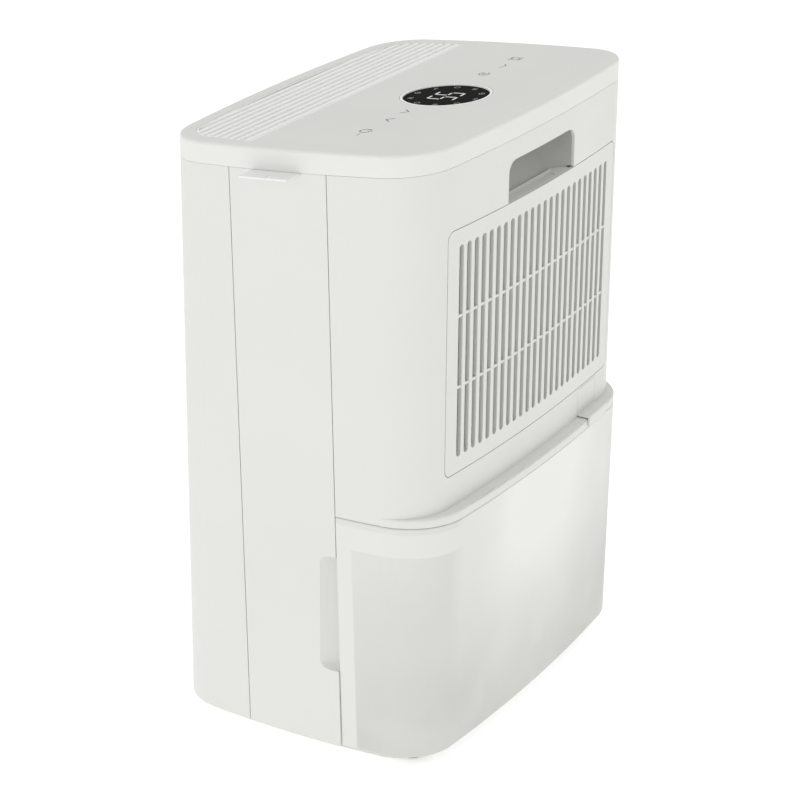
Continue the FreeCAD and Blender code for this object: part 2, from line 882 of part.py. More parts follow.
def filter_flange():
    """The filter's top flange, the floor of the handle recess, with a bead and a finger hollow."""
    reach = size.handle_width / 2 - 2.5
    near = half_depth - size.flange_depth
    top = size.filter_top - 0.1
    low = top - size.flange_thickness
    corner = size.flange_corner
    sheet_of = box("flange_sheet", (-reach, reach), (near, half_depth - 2.5), (low, top))
    limit = near.value + 1
    plate = rounded(
        "flange_plate",
        sheet_of,
        corner,
        lambda edge: along("z")(edge) and edge.CenterOfMass.y < limit,
    )
    bead = box("flange_bead", (corner - reach, reach - corner), (near, near + 1), (low, top + 0.8))
    hollow = box("flange_hollow", (-32, 32), (near + 2, half_depth - 5), (top - 0.8, top + 5))
    soft = rounded("flange_hollow_soft", hollow, 3, along("z"))
    return cut("flange", fuse("flange_body", plate, bead), soft)


def hose_port():
    """The cover over the continuous-drain port, with its finger tab on the ledge."""
    flap_x = (size.port_cover_left, size.port_cover_right)
    low = size.ledge_height + 3 * GAP
    plate = box("port_plate", flap_x, (half_depth - 30, half_depth + 5), (low, size.port_cover_top))
    skin = cut(
        "port_layer",
        outline_block("port_outer", 0, size.floor_gap, size.height),
        outline_block("port_inner", size.skin, size.floor_gap - 5, size.height + 5),
    )
    flap = common("port_flap", plate, skin)
    bottom = size.ledge_height - size.lip_height + 0.8
    reach = box(
        "port_pad_reach", flap_x, (half_depth - 10, half_depth + 30), (bottom, low + size.port_pad)
    )
    soft = rounded("port_pad_corners", reach, 2.0, along("y"))
    step = outline_block("port_pad_step", -4.0, low + 0.7, low + 20)
    skirt = lip_block("port_pad_outer", -GAP - size.port_pad, bottom, low + size.port_pad)
    lip_room = outline_block(
        "port_lip_room", -GAP, 0, low, size.lip_overhang, size.lip_corner
    )
    wall_room = outline_block("port_wall_room", size.skin, 0, size.height)
    pad = cut("port_pad", common("port_pad_body", skirt, soft), lip_room, wall_room, step)
    node(fuse("port_cover", flap, pad), "hose_port_cover")
    x = (size.port_cover_left + size.port_cover_right) / 2
    start = tray_back
    place = (x, size.spigot_height)
    outer = cylinder("spigot_outer", "y", size.spigot_bore + 2, place, start, half_depth - 7)
    bore = cylinder("spigot_bore", "y", size.spigot_bore, place, start - 5, half_depth + 7)
    collar = cylinder("spigot_collar", "y", size.spigot_bore + 3.5, place, start, start + 3)
    body = fuse("spigot_body", outer, collar)
    node(cut("spigot", body, bore), "drain_spigot")


# ---------------------------------------------------------------- water tank


def tank_shape(name, inset, bottom, top):
    """The tank's outside, drawn in towards the floor, less inset on every wall."""
    low = outline(
        f"{name}_low",
        half_length - 1.2,
        half_depth + size.lip_overhang - size.tank_taper,
        size.corner_radius,
        as_size(inset),
        bottom,
    )
    high = outline(
        f"{name}_high",
        half_length,
        half_depth + size.lip_overhang,
        size.lip_corner,
        as_size(inset),
        top,
    )
    loft = doc.addObject("Part::Loft", name)
    loft.Sections = [low, high]
    loft.Solid = True
    loft.Ruled = True
    return loft


def tank_room(name, inset, low, high):
    """Everything behind the side seams, less inset, between two heights."""
    return prism(
        name,
        "yz",
        [
            (rear_edge_at(low) + half_seam + inset, low),
            (FAR, low),
            (FAR, high),
            (rear_edge_at(high) + half_seam + inset, high),
        ],
        -FAR,
        FAR,
    )


def water_tank():
    body = common(
        "tank_body",
        tank_shape("tank_outer", 0, size.floor_gap, tank_top),
        tank_room("tank_region", 0, size.floor_gap, tank_top),
    )
    footed = rounded("tank_footed", body, 2.5, tank_foot)
    eased = rounded("tank_eased", footed, size.rim_round, tank_rim)
    hollow = common(
        "tank_hollow",
        tank_shape("tank_inner", size.tank_wall, size.floor_gap, tank_top + 0.01),
        tank_room("tank_space", size.tank_wall, size.floor_gap + 3, tank_top + 20),
    )
    node(cut("tank_shell", eased, hollow), "water_tank")


def tank_foot(edge):
    return edge.BoundBox.ZMax < size.floor_gap.value + 0.1 and edge.CenterOfMass.y > 60


def tank_rim(edge):
    return edge.BoundBox.ZMin > tank_top.value - 0.1 and edge.BoundBox.YMax > 60


def tank_lid():
    """The lid let into the tank's mouth, with a drain hole and a pouring spout."""
    depth = 5.0
    plug = common(
        "lid_plug",
        tank_shape("lid_shape", size.tank_wall + 0.3, size.floor_gap, tank_top + 0.02),
        tank_room("lid_region", size.tank_wall + 0.3, tank_top - depth, tank_top - 0.8),
    )
    pan = common(
        "lid_pan",
        tank_shape("lid_pan_shape", size.tank_wall + 2.3, size.floor_gap, tank_top + 0.03),
        tank_room("lid_pan_region", size.tank_wall + 2.3, tank_top - depth + 1.6, tank_top + 5),
    )
    inlet = cylinder("lid_inlet", "z", 16, (0, drain_y), 100, 260)
    pour = cylinder("lid_pour", "z", 9, (130, 62), 100, 260)
    node(cut("lid", plug, pan, inlet, pour), "tank_lid")


def tank_float():
    """The float on its pivot under the lid, which tells the switch that the tank is full."""
    x = -84.0
    top = tank_top - 5.0
    y = float_pivot
    bracket = box("float_bracket_box", (x - 12, x + 12), (y - 3.5, y + 3.5), (top - 12, top))
    gap = box("float_bracket_gap", (x - 8, x + 8), (y - 14, y + 16), (top - 20, top - 3))
    bore = cylinder("float_bracket_bore", "x", 2.1, (y, top - 8), x - 20, x + 20)
    node(cut("float_bracket", bracket, gap, bore), "float_bracket")
    pin = cylinder("float_pin", "x", 2.05, (y, top - 8), x - 11.5, x + 11.5)
    arm = box("float_arm", (x - 3, x + 3), (72, y), (top - 10, top - 7))
    bulb = cylinder("float_bulb", "x", 13, (64, top - 22), x - 18, x + 18)
    neck = box("float_neck", (x - 3, x + 3), (68, 74), (top - 20, top - 7))
    soft = rounded("float_soft", bulb, 4, round_edge)
    node(fuse("float", pin, arm, soft, neck), "tank_float")


def tank_switch():
    """The switch on the bay wall whose plunger feels that the tank is home."""
    y = size.bay_wall_face
    case = box("switch_case_box", (-14, 14), (y - 22, y - 2.5), (172, 196))
    channel = box("switch_channel", (-5.2, 5.2), (y - 18, y + 10), (178.8, 189.2))
    node(cut("switch_case", case, channel), "tank_switch_case")
    face = rear_edge_at(184) + half_seam
    plunger = box("plunger_bar", (-5, 5), (y - 13, face - GAP), (179, 189))
    node(rounded("plunger_soft", plunger, 1, along("x")), "tank_switch_plunger")


# ---------------------------------------------------------------- airway and cooling circuit


def coil_tubes():
    """Heights of the straight tubes of a coil."""
    pitch = (size.coil_top - size.coil_bottom) / COIL_ROWS
    return [size.coil_bottom + pitch * (row + 0.5) for row in range(COIL_ROWS)]


def coil(name, middle):
    """A finned block on a serpentine tube, 20 mm deep about its middle."""
    low = middle - 10
    high = middle + 10
    half = size.coil_width / 2
    heights = coil_tubes()
    holes = []
    runs = []
    for index, z in enumerate(heights):
        reach = (-half - size.end_reach, half + size.end_reach)
        bar = cylinder(f"{name}_hole_{index}", "x", size.tube_radius + 0.08, (middle, z), *reach)
        holes.append(bar)
        run = cylinder(f"{name}_run_{index}", "x", size.tube_radius, (middle, z), *reach)
        runs.append(run)
    for index, (z, above) in enumerate(zip(heights, heights[1:])):
        side = -half - size.end_reach if index % 2 == 0 else half + size.end_reach
        joint = cylinder(f"{name}_bend_{index}", "z", size.tube_radius, (side, middle), z, above)
        runs.append(joint)
    pitch = size.coil_width / (FIN_COUNT - 1)
    fins = []
    for index in range(FIN_COUNT):
        x = -half + index * pitch
        height = (size.coil_bottom, size.coil_top)
        fins.append(box(f"{name}_fin_{index}", (x - 0.3, x + 0.3), (low, high), height))
    plates = separate(f"{name}_stack", fins)
    node(cut(f"{name}_pierced", plates, *holes), f"{name}_fins")
    node(fuse(f"{name}_serpentine", *runs), f"{name}_tube")


def coil_frame():
    """The end plates that hold both coils on the deck."""
    plates = []
    for name, x in (("left", -size.coil_width / 2 - 4), ("right", size.coil_width / 2 + 4)):
        height = (deck_high, size.coil_top + 4)
        plate = box(f"end_{name}", (x - 1, x + 1), (warm_coil - 13, cold_coil + 12), height)
        holes = []
        for index, z in enumerate(coil_tubes()):
            for which, y in (("warm", warm_coil), ("cold", cold_coil)):
                radius = size.tube_radius + 0.08
                holes.append(
                    cylinder(f"end_{name}_{index}_{which}", "x", radius, (y, z), x - 5, x + 5)
                )
        plates.append(cut(f"end_{name}_pierced", plate, *holes))
    node(separate("end_plates", plates), "coil_end_plates")


def drip_tray():
    """The tray under the cold coil, with its drain down through the deck."""
    half = size.coil_width / 2 + 2
    back = tray_back
    outer = box("tray_outer", (-half, half), (back - 28, back), (deck_high, size.coil_bottom - GAP))
    inner_height = (deck_high + 2, size.coil_bottom + 5)
    inner = box("tray_inner", (2 - half, half - 2), (back - 26, back - 2), inner_height)
    port_x = (size.port_cover_left + size.port_cover_right) / 2
    port = cylinder(
        "tray_port", "y", size.spigot_bore, (port_x, size.spigot_height), back - 5, back + 5
    )
    nozzle = cylinder("tray_nozzle", "z", 6.5, (0, drain_y), tank_top + 1.2, deck_high + 1)
    bore = cylinder("tray_bore", "z", 4.5, (0, drain_y), 150, deck_high + 10)
    body = cut("tray_hollowed", outer, inner, port)
    node(cut("tray", fuse("tray_body", body, nozzle), bore), "drip_tray")


def fan():
    """The radial fan: scroll, inlet ring, wheel on its shaft, and the motor inside the wheel."""
    z = size.fan_height
    radius = size.scroll_radius
    front = size.outlet_margin - half_depth + 4
    back = outlet_rear
    roof = top_at(front) - size.slat_depth - 7
    low = size.scroll_radius - 2
    drum = cylinder("scroll_drum", "y", radius, (0, z), front, back)
    chute = box("scroll_chute", (-radius, radius), (front, back), (z, roof))
    foot = box("scroll_foot", (-60, 60), (front, back), (deck_high, z - radius + 30))
    drum_room = cylinder("scroll_drum_room", "y", low, (0, z), front + 2, back - 2)
    chute_room = box("scroll_chute_room", (-low, low), (front + 2, back - 2), (z, roof + 5))
    inlet = cylinder("scroll_inlet", "y", size.fan_radius - 12, (0, z), back - 5, back + 5)
    tie = cylinder("scroll_motor_hole", "y", 20, (0, z), front - 5, front + 5)
    body = fuse("scroll_body", drum, chute, foot)
    node(cut("scroll", body, drum_room, chute_room, inlet, tie), "fan_scroll")
    ring = cylinder("ring_outer", "y", size.fan_radius - 4, (0, z), back, back + 5)
    throat = cylinder("ring_throat", "y", size.fan_radius - 16, (0, z), back - 2, back + 6)
    opened = cut("ring_open", ring, throat)
    soft = rounded("ring_soft", opened, 1.5, lambda edge: edge.CenterOfMass.y > back.value + 4)
    node(soft, "fan_inlet_ring")
    motor_back = front + 34
    can = cylinder("motor_can", "y", 36, (0, z), front + 2 + GAP, motor_back)
    neck = cylinder("motor_neck", "y", 19, (0, z), front - 1, front + 4)
    bore = cylinder("motor_bore", "y", size.shaft_radius + 0.05, (0, z), front + 10, motor_back + 5)
    eased = rounded("motor_eased", can, 3, lambda edge: edge.CenterOfMass.y > motor_back.value - 1)
    node(cut("motor", fuse("motor_body", eased, neck), bore), "fan_motor")
    shaft = cylinder("shaft_bar", "y", size.shaft_radius, (0, z), front + 11, back - 9)
    node(shaft, "fan_shaft")
    wheel(front, back, z)


def wheel(front, back, z):
    """The fan wheel: a dished hub round the motor and a ring of blades."""
    rim = size.fan_radius
    floor = front + 5
    top = back - 5
    plate = cylinder("wheel_plate", "y", rim, (0, z), floor, floor + 2)
    plate_hole = cylinder("wheel_plate_hole", "y", 41, (0, z), floor - 1, floor + 3)
    skirt = cylinder("wheel_skirt", "y", 42, (0, z), floor + 0.4, front + 40)
    skirt_room = cylinder("wheel_skirt_room", "y", 40, (0, z), floor - 1, front + 38)
    boss = cylinder("wheel_boss", "y", 9, (0, z), front + 38, back - 9)
    bore = cylinder("wheel_bore", "y", size.shaft_radius + 0.02, (0, z), front, back + 5)
    ring = cylinder("wheel_ring", "y", rim, (0, z), top - 2, top)
    ring_hole = cylinder("wheel_ring_hole", "y", rim - 13, (0, z), top - 3, top + 1)
    hub = cut("wheel_hub", fuse("wheel_hub_body", skirt, boss), skirt_room, bore)
    disc_plate = cut("wheel_back", plate, plate_hole)
    shroud = cut("wheel_shroud", ring, ring_hole)
    blades = []
    for index in range(BLADES):
        turn = 360.0 * index / BLADES
        blade = doc.addObject("Part::Box", f"blade_{index + 1}")
        bind(blade, "Length", 11)
        bind(blade, "Width", top - floor - 1)
        bind(blade, "Height", 1.2)
        spin = Rotation(Vector(0, 1, 0), turn)
        tilt = Rotation(Vector(0, 1, 0), 28)
        start = spin.multVec(Vector(rim.value - 12.2, 0, 0))
        place = Vector(start.x, (floor + 0.5).value, z.value + start.z)
        blade.Placement = Placement(place, spin.multiply(tilt))
        blades.append(blade)
    node(fuse("wheel", hub, disc_plate, shroud, *blades), "fan_wheel")


def compressor():
    """The sealed compressor on its feet and grommets, with the pump inside."""
    x, y, radius = size.compressor_x, compressor_y, size.compressor_radius
    low, high = as_size(30), size.compressor_top
    can = cylinder("can_outer", "z", radius, (x, y), low, high)
    domed = rounded("can_domed", can, 20, round_edge)
    room = cylinder("can_inner", "z", radius - 3, (x, y), low + 3, high - 3)
    hollow = rounded("can_room", room, 17, round_edge)
    foot = box("can_foot", (x - 62, x + 62), (y - 20, y + 20), (26, 29.5))
    stand = cylinder("can_stand", "z", 30, (x, y), 27, 33)
    studs = []
    grommets = []
    for index, place in enumerate((-54, 54)):
        for side in (-12, 12):
            name = f"{index}_{side}"
            centre = (x + place, y + side)
            studs.append(cylinder(f"foot_hole_{name}", "z", 5.2, centre, 20, 40))
            post = cylinder(f"grommet_{name}", "z", 8, centre, size.floor_gap - GAP, 25.7)
            nose = cylinder(f"grommet_nose_{name}", "z", 5, centre, 25, 31)
            grommets.append(fuse(f"grommet_body_{name}", post, nose))
    shell = fuse("can_body", domed, foot, stand)
    node(cut("can", shell, hollow, *studs), "compressor_can")
    node(separate("grommets", grommets), "compressor_grommets")
    pump = cylinder("pump", "z", radius - 10, (x, y), 44, 150)
    springs = cylinder("pump_seat", "z", 20, (x, y), low + 3 + 0.2, 45)
    node(fuse("pump_body", pump, springs), "compressor_pump")


def pipework():
    """The copper pipes between the compressor and the coils, with drier and capillary."""
    x = size.compressor_x.value
    y = compressor_y.value
    cold = cold_coil.value
    warm = warm_coil.value
    drier = drier_y.value
    top = size.compressor_top.value - 0.5
    end = (size.coil_width / 2 + size.end_reach).value
    tubes = [z.value for z in coil_tubes()]
    first, last = tubes[0], tubes[-1]
    below = deck_low.value - 6
    suction = [(x + 18, y, top), (x + 18, y, below - 4), (120, -20, below), (142, 15, below)]
    suction += [(142, 15, 260), (152, cold - 32, 300), (150, cold, last), (end, cold, last)]
    node(pipe("suction", suction, 4.0), "suction_pipe")
    discharge = [(x - 12, y, top), (x - 12, y, below - 4), (100, -78, below), (142, -40, below)]
    discharge += [(142, -40, 250), (150, warm - 53, 300), (150, warm, last), (end, warm, last)]
    node(pipe("discharge", discharge, 3.0), "discharge_pipe")
    drier_x, drier_low, drier_high = 160, 234, 292
    liquid = [(end, warm, first), (149, warm, first), (164, warm - 19, 286), (drier_x, drier, 314)]
    liquid += [(drier_x, drier, drier_high)]
    node(pipe("liquid", liquid, 3.0), "liquid_pipe")
    body = cylinder("drier_body", "z", 8, (drier_x, drier_y), drier_low, drier_high)
    node(rounded("drier", body, 4, round_edge), "filter_drier")
    capillary = [(drier_x, drier, drier_low), (drier_x, drier, 224), (158, cold - 32, 222)]
    capillary += [(150, cold - 4, 232), (146, cold, first), (end, cold, first)]
    node(pipe("capillary", capillary, 1.2), "capillary_tube")


def fasteners():
    """Screws that come up through the base into the casing."""
    screws = []
    for index, place in enumerate(screw_places):
        head = cylinder(f"screw_head_{index}", "z", 4, place, 2.6, 5.0)
        shank = cylinder(f"screw_shank_{index}", "z", 1.9, place, 4.9, 16)
        screws.append(fuse(f"screw_{index}", head, shank))
    node(separate("screws", screws), "base_screws")


def electrics():
    """The control box with its board and capacitor, the humidity sensor and the cord gland."""
    front = control_front
    back = control_back
    outer = box("control_outer", (-164, -122), (front, back), (deck_high, 372))
    inner = box("control_inner", (-162, -118), (front + 2, back - 2), (deck_high + 2, 370))
    tray = cut("control_hollow", outer, inner)
    node(tray, "control_box")
    board = box("control_board", (-157, -155.4), (front + 6, back - 6), (deck_high + 8, 366))
    node(board, "main_control_board")
    spacers = []
    near = front + 10
    far = back - 10
    for index, (y, z) in enumerate(((near, 226), (far, 226), (near, 360), (far, 360))):
        spacers.append(cylinder(f"board_spacer_{index}", "x", 2.5, (y, z), -162, -157))
    node(separate("control_spacers", spacers), "control_board_spacers")
    can = cylinder("capacitor_can", "z", 15, (-138, -20), deck_high + 2, 288)
    soft = rounded("capacitor_soft", can, 2, lambda edge: edge.CenterOfMass.z > 287)
    node(soft, "run_capacitor")
    cover = box("control_cover", (-121.7, -120), (front, back), (deck_high, 372))
    node(cover, "control_box_cover")
    wall = half_depth - size.skin
    sensor = box("sensor_body", (112, 122), (wall - 10.5, wall - 5.1), (440, 458))
    node(sensor, "humidity_sensor")
    y, z = -5, 55
    flange = cylinder("gland_flange", "x", 10, (y, z), -half_length - 2, -half_length + 0.0)
    neck = cylinder("gland_neck", "x", 6.8, (y, z), -half_length - 2, -half_length + 14)
    bore = cylinder("gland_bore", "x", 3.6, (y, z), -half_length - 10, -half_length + 20)
    node(cut("gland", fuse("gland_body", flange, neck), bore), "cord_gland")


def finish():
    """Checks every object and writes each piece to its own file."""
    doc.recompute()
    for thing in doc.Objects:
        if "Invalid" in thing.State or "Error" in thing.State:
            raise RuntimeError(f"{thing.Name} ({thing.Label}) failed: {thing.State}")
    os.makedirs("parts", exist_ok=True)
    for piece in parts:
        shape = piece.Shape
        if shape.isNull() or not shape.isValid():
            raise RuntimeError(f"{piece.Label} has no valid shape")
        shape.exportStep(f"parts/{piece.Label}.step")
        count = len(shape.Solids)
        print(f"{piece.Label:26s} solids {count:3d}  volume {shape.Volume / 1000:9.2f} cm3")


front_shell()
side_columns()
rear_housing()
handle_cup()
top_cover()
outlet_grille()
display()
side_tag()
base()
bay_and_deck()
filter_panel()
hose_port()
water_tank()
tank_lid()
tank_float()
tank_switch()
coil("evaporator", cold_coil)
coil("condenser", warm_coil)
coil_frame()
drip_tray()
fan()
compressor()
pipework()
electrics()
fasteners()
finish()
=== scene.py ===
"""Looks of the dehumidifier: camera, studio, finishes, and the fine pieces the frame leaves plain.

Everything is in metres and in the frame's own axes: +Z up, +Y towards the filter and the tank,
+X towards the side with the tab. The window's marks and the filter net take their places from the
frame's node boxes. The touch marks' row and the tank's tone take theirs from the numbers named
here.
"""

import json
import math

import bmesh
import bpy
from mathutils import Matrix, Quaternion, Vector


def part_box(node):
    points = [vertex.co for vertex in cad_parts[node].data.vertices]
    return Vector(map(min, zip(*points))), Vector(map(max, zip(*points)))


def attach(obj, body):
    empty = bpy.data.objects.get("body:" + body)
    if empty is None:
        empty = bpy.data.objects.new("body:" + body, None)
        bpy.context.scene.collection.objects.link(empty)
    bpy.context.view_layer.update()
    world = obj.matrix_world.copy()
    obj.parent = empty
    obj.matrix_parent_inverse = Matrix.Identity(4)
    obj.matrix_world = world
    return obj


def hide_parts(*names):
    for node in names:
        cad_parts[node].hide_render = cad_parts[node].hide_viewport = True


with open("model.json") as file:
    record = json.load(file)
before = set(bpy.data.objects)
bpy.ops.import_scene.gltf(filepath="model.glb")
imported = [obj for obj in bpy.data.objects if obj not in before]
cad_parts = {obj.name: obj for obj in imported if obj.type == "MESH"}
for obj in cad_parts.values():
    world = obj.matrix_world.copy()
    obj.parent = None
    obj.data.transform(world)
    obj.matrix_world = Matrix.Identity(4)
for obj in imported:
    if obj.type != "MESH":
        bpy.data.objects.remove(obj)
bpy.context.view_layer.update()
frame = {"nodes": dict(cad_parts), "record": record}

RECORD = frame["record"]
NODE_SLOT = {row["node"]: row["material_slot"] for row in RECORD["subparts"]}

# --- camera -------------------------------------------------------------------------------------

CAMERA_AZIMUTH = 120.05
CAMERA_ELEVATION = 22.63
CAMERA_ROLL = 0.49
CAMERA_DISTANCE = 2.1267
CAMERA_TARGET = Vector((0.0078, 0.001, 0.2347))
CAMERA_LENS = 118.78
SENSOR_WIDTH = 36.0


def direction_to(azimuth, elevation):
    """A unit vector away from the object, from angles in degrees; azimuth 0 is the front."""
    turn, rise = math.radians(azimuth), math.radians(elevation)
    level = math.cos(rise)
    return Vector((math.sin(turn) * level, -math.cos(turn) * level, math.sin(rise)))


def make_camera():
    """A long lens, above and behind the object, on the side with the tab."""
    back = direction_to(CAMERA_AZIMUTH, CAMERA_ELEVATION)
    data = bpy.data.cameras.new("camera")
    data.lens = CAMERA_LENS
    data.sensor_width = SENSOR_WIDTH
    camera = bpy.data.objects.new("camera", data)
    camera.location = CAMERA_TARGET + back * CAMERA_DISTANCE
    camera.rotation_mode = "QUATERNION"
    roll = Quaternion((0, 0, 1), math.radians(CAMERA_ROLL))
    camera.rotation_quaternion = (-back).to_track_quat("-Z", "Y") @ roll
    bpy.context.scene.collection.objects.link(camera)
    bpy.context.scene.camera = camera


# --- sizes the pieces share -----------------------------------------------------------------------

RAKE = 22.0 / 240.0  # fall of the top from back to front
BACK_RADIUS = 1.536  # plan radius of the gently curved back
SEAM_SLOPE = 0.0258  # lean of the seam in front of the tank

# --- materials ----------------------------------------------------------------------------------


class Shader:
    """A Principled material and the few procedural parts that the finishes share."""

    def __init__(self, name, roughness=0.5, **sockets):
        self.material = bpy.data.materials.new(name)
        self.material.use_nodes = True
        self.tree = self.material.node_tree
        self.nodes = self.tree.nodes
        self.shader = self.nodes["Principled BSDF"]
        self.shader.inputs["Roughness"].default_value = roughness
        for socket, value in sockets.items():
            self.shader.inputs[socket.replace("_", " ")].default_value = value
        self.place = self.nodes.new("ShaderNodeTexCoord").outputs["Object"]
        self.edges = None

    def link(self, output, socket):
        self.tree.links.new(output, socket)

    def noise(self, scale, detail=2.0, roughness=0.5):
        """A noise value between 0 and 1, with scale in features per metre."""
        node = self.nodes.new("ShaderNodeTexNoise")
        node.inputs["Scale"].default_value = scale
        node.inputs["Detail"].default_value = detail
        node.inputs["Roughness"].default_value = roughness
        self.link(self.place, node.inputs["Vector"])
        return node.outputs["Fac"]

    def spread(self, value, low, high):
        """The value from 0.3 to 0.7 stretched to lie between low and high."""
        node = self.nodes.new("ShaderNodeMapRange")
        node.inputs["From Min"].default_value = 0.3
        node.inputs["From Max"].default_value = 0.7
        node.inputs["To Min"].default_value = low
        node.inputs["To Max"].default_value = high
        self.link(value, node.inputs["Value"])
        return node.outputs["Result"]

    def colours(self, value, first, second):
        """A colour between the two, taken from a value. Sockets 6, 7 and 2 are a mix's colours."""
        node = self.nodes.new("ShaderNodeMix")
        node.data_type = "RGBA"
        node.inputs[6].default_value = (*first, 1)
        node.inputs[7].default_value = (*second, 1)
        self.link(value, node.inputs["Factor"])
        return node.outputs[2]

    def axes(self):
        """The object's own x, y and z, in metres."""
        node = self.nodes.new("ShaderNodeSeparateXYZ")
        self.link(self.place, node.inputs[0])
        return node.outputs

    def maths(self, operation, first, second):
        """A sum, product or the like of two values, each a number or an output."""
        node = self.nodes.new("ShaderNodeMath")
        node.operation = operation
        for socket, value in zip(node.inputs, (first, second)):
            if isinstance(value, (int, float)):
                socket.default_value = value
            else:
                self.link(value, socket)
        return node.outputs[0]

    def step(self, value, start, end, low=0.0, high=1.0):
        """A soft step from low at start to high at end."""
        node = self.nodes.new("ShaderNodeMapRange")
        node.interpolation_type = "SMOOTHSTEP"
        node.inputs["From Min"].default_value = start
        node.inputs["From Max"].default_value = end
        node.inputs["To Min"].default_value = low
        node.inputs["To Max"].default_value = high
        self.link(value, node.inputs["Value"])
        return node.outputs["Result"]

    def soften(self, radius):
        """Rounds the look of sharp edges by a small radius, before any bump."""
        self.edges = self.nodes.new("ShaderNodeBevel")
        self.edges.samples = 4
        self.edges.inputs["Radius"].default_value = radius
        self.link(self.edges.outputs["Normal"], self.shader.inputs["Normal"])
        return self

    def mottle(self, colour, amount, scale):
        """A base colour that wanders a little, as moulded plastic does."""
        dark = [channel * (1 - amount) for channel in colour]
        light = [min(1.0, channel * (1 + amount)) for channel in colour]
        value = self.spread(self.noise(scale, 3.0), 0.0, 1.0)
        self.link(self.colours(value, dark, light), self.shader.inputs["Base Color"])
        return self

    def gloss(self, low, high, scale):
        """A roughness that wanders between low and high."""
        value = self.spread(self.noise(scale, 4.0), low, high)
        self.link(value, self.shader.inputs["Roughness"])
        return self

    def bump(self, value, height, strength=0.5):
        """A bump of the given height in metres."""
        node = self.nodes.new("ShaderNodeBump")
        node.inputs["Strength"].default_value = strength
        node.inputs["Distance"].default_value = height
        self.link(value, node.inputs["Height"])
        if self.edges:
            self.link(self.edges.outputs["Normal"], node.inputs["Normal"])
        self.link(node.outputs["Normal"], self.shader.inputs["Normal"])
        return self

    def grain(self, scale, height, strength=0.5):
        """A fine moulded grain."""
        return self.bump(self.noise(scale, 3.0, 0.6), height, strength)


def plastic(
    name, colour, roughness, mottle=0.012, grain=1400.0, height=0.00006, edge=0.0005, **sockets
):
    """Moulded plastic: a fine grain, a slightly uneven gloss and a hint of colour change."""
    shader = Shader(name, roughness, **sockets)
    if edge:
        shader.soften(edge)
    shader.mottle(colour, mottle, 9.0)
    shader.gloss(roughness - 0.05, roughness + 0.05, 45.0)
    shader.grain(grain, height)
    return shader.material


def metal(name, colour, roughness, grain=600.0, height=0.00004):
    """Bare metal with a drawn or stamped surface."""
    shader = Shader(name, roughness, Metallic=1.0)
    shader.mottle(colour, 0.06, 30.0)
    shader.gloss(roughness - 0.08, roughness + 0.1, 90.0)
    shader.grain(grain, height)
    return shader.material


TANK_TONE = 0.69
# Where each change of the tank's tone starts and ends: heights above the floor,
RIM_EDGE = (0.1795, 0.1830)
BAND_EDGE = (0.2008, 0.2030)
LIGHTER_UPWARD = (0.03, 0.17)
CLOUDIER_DOWNWARD = (0.10, 0.03)
# places along y, with the lean of the seam in front of the tank taken out,
BORDER_EDGE = (0.0590, 0.0650)
# and distances to either side of the middle.
BACK_WALL_EDGE = (0.142, 0.118)
MIDDLE_EDGE = (0.120, 0.02)
# The most each adds to the tone. The cloud adds or takes away, and the band takes away.
# The upward, back-wall and middle shares are painted glow: light through the tank painted into its
# tone.
UPWARD_GLOW_SHARE = 0.07
BACK_WALL_GLOW_SHARE = 0.07
MIDDLE_GLOW_SHARE = 0.11
LOW_CLOUD_SHARE = 0.035
CLOUD_SHARE = 0.018
PALE_SHARE = 0.135
BAND_SHARE = 0.05
INSIDE_LIMIT = 0.92  # the lightest the tone gets away from the rim and the border


def frosted_with_painted_glow(name):
    """The tank's milky polypropylene: paler at its rim and beside its seam, with a painted glow
    that lightens it upward, away from its ends and most in its upper middle.
    """
    shader = Shader(name, 0.42, Specular_IOR_Level=0.4, Transmission_Weight=0.06, IOR=1.3)
    shader.soften(0.0006)
    x, y, z = shader.axes()
    rim = shader.step(z, *RIM_EDGE)
    y_at_floor = shader.maths("ADD", y, shader.maths("MULTIPLY", z, SEAM_SLOPE))
    border = shader.step(y_at_floor, *BORDER_EDGE, 1.0, 0.0)
    # The rim and the strip beside the seam take the pale tone.
    pale_rim_and_border = shader.maths("MAXIMUM", rim, border)
    # Painted glow: the tone is lighter upward, away from the ends and most in the upper middle.
    height = shader.step(z, *LIGHTER_UPWARD)
    off_middle = shader.maths("ABSOLUTE", x, 0.0)
    back_wall_glow = shader.step(off_middle, *BACK_WALL_EDGE)
    middle = shader.step(off_middle, *MIDDLE_EDGE)
    low_cloud = shader.step(z, *CLOUDIER_DOWNWARD)
    cloud = shader.spread(shader.noise(13.0, 3.0, 0.45), -1.0, 1.0)
    parts = (
        (height, UPWARD_GLOW_SHARE),
        (shader.maths("MULTIPLY", back_wall_glow, height), BACK_WALL_GLOW_SHARE),
        (shader.maths("MULTIPLY", middle, height), MIDDLE_GLOW_SHARE),
        (shader.maths("MULTIPLY", cloud, low_cloud), LOW_CLOUD_SHARE),
        (cloud, CLOUD_SHARE),
    )
    inside = TANK_TONE
    for value, share in parts:
        inside = shader.maths("ADD", shader.maths("MULTIPLY", value, share), inside)
    inside = shader.maths("MINIMUM", inside, INSIDE_LIMIT)
    band = shader.maths("MULTIPLY", shader.step(z, *BAND_EDGE), BAND_SHARE)
    pale = shader.maths("SUBTRACT", TANK_TONE + PALE_SHARE, band)
    tone = shader.maths("MAXIMUM", inside, shader.maths("MULTIPLY", pale_rim_and_border, pale))
    milky_and_glow = shader.colours(tone, (0.0, 0.0, 0.0), (1.0, 1.005, 0.965))
    shader.link(milky_and_glow, shader.shader.inputs["Base Color"])
    shader.gloss(0.36, 0.5, 30.0)
    shader.grain(1200.0, 0.00004)
    return shader.material


